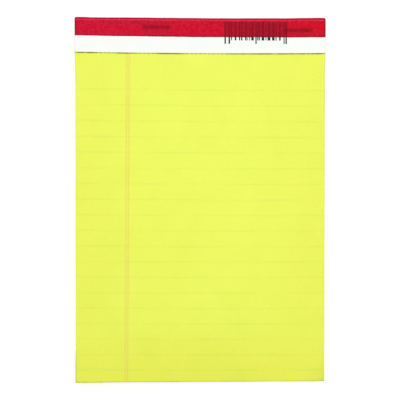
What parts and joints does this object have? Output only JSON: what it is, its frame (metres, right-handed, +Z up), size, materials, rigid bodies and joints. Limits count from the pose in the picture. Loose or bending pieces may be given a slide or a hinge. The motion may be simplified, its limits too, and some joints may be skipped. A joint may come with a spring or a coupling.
{
  "type": "legal pad",
  "caption": "Flat ruled writing pad: yellow sheets on a stiff board, stitched through the head with wire under a folded red tape, with a white strip above the tear line.",
  "frame": {"origin": "middle of the pad's underside, on the surface that it lies on", "axes": "+X across the page to the right, +Y up the page to the taped head, +Z up out of the front page"},
  "size_m": [0.139, 0.2032, 0.0056],
  "materials": {
    "page_paper": "uncoated yellow writing paper with pale ruled lines",
    "chipboard": "raw grey-brown recycled board",
    "label_paper": "smooth white paper",
    "binding_paper": "red crepe-like binding paper, glued down",
    "stitching_wire": "galvanised wire"
  },
  "bodies": {
    "root": {"ruled_sheets": "page_paper", "backing_board": "chipboard", "label_strip": "label_paper", "binding_tape": "binding_paper", "staples": "stitching_wire"}
  },
  "joints": []
}
